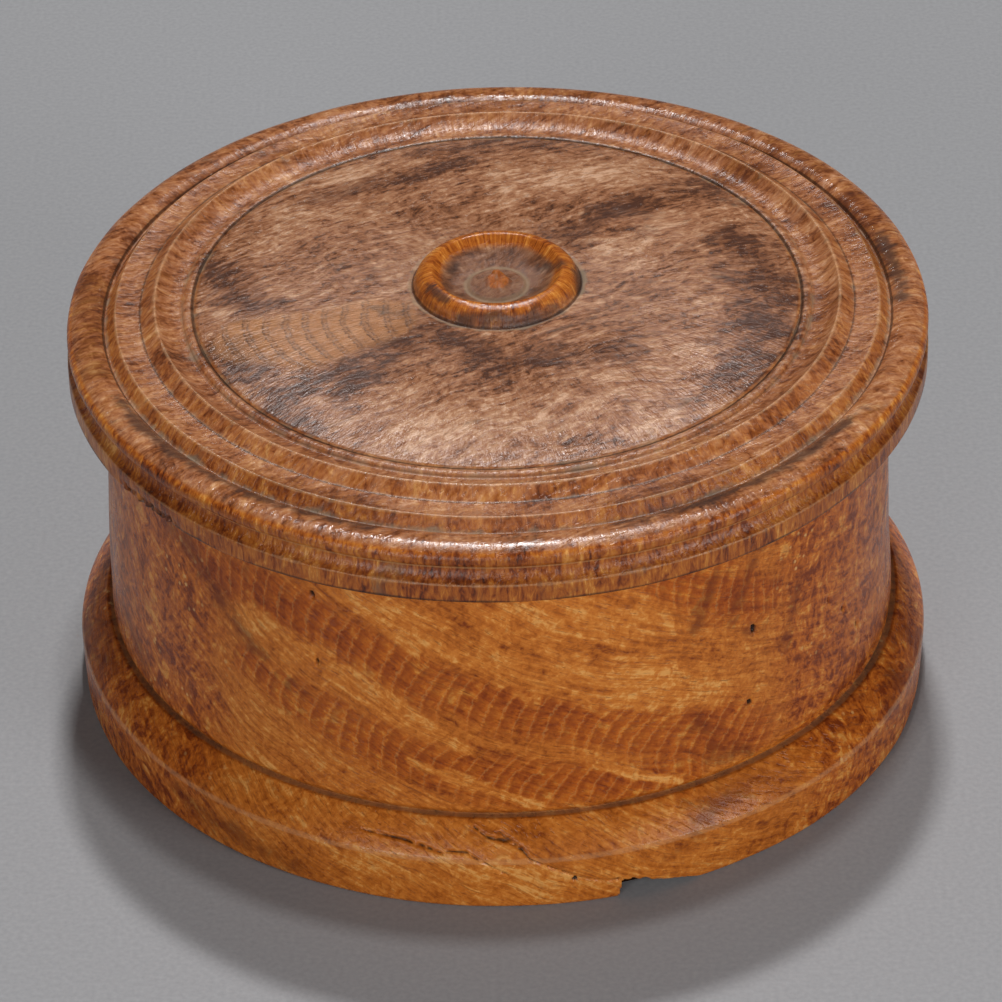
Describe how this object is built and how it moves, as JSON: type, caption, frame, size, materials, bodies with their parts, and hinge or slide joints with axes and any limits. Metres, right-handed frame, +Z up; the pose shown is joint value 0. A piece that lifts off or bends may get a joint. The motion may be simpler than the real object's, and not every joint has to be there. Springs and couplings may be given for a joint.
{
  "type": "turned wooden box",
  "caption": "Round turned wooden box with a flaring wall, moulded foot and a loose moulded lid with a ring-shaped knob.",
  "frame": {"origin": "centre of the face that the box stands on", "axes": "+Z up along the turning axis; -Y is the side with the chip in the foot"},
  "size_m": [0.181, 0.181, 0.096],
  "materials": {
    "body_wood": "waxed figured hardwood, honey orange to red-brown",
    "lid_wood": "waxed figured hardwood, greyer brown with darker bands and dust in the grooves"
  },
  "bodies": {
    "body": {"box_body": "body_wood"},
    "lid": {"lid": "lid_wood"}
  },
  "joints": [
    {"name": "lid_lift", "type": "slide", "parent": "body", "child": "lid", "axis": [0, 0, 1], "range_m": [0, 0.1]}
  ]
}
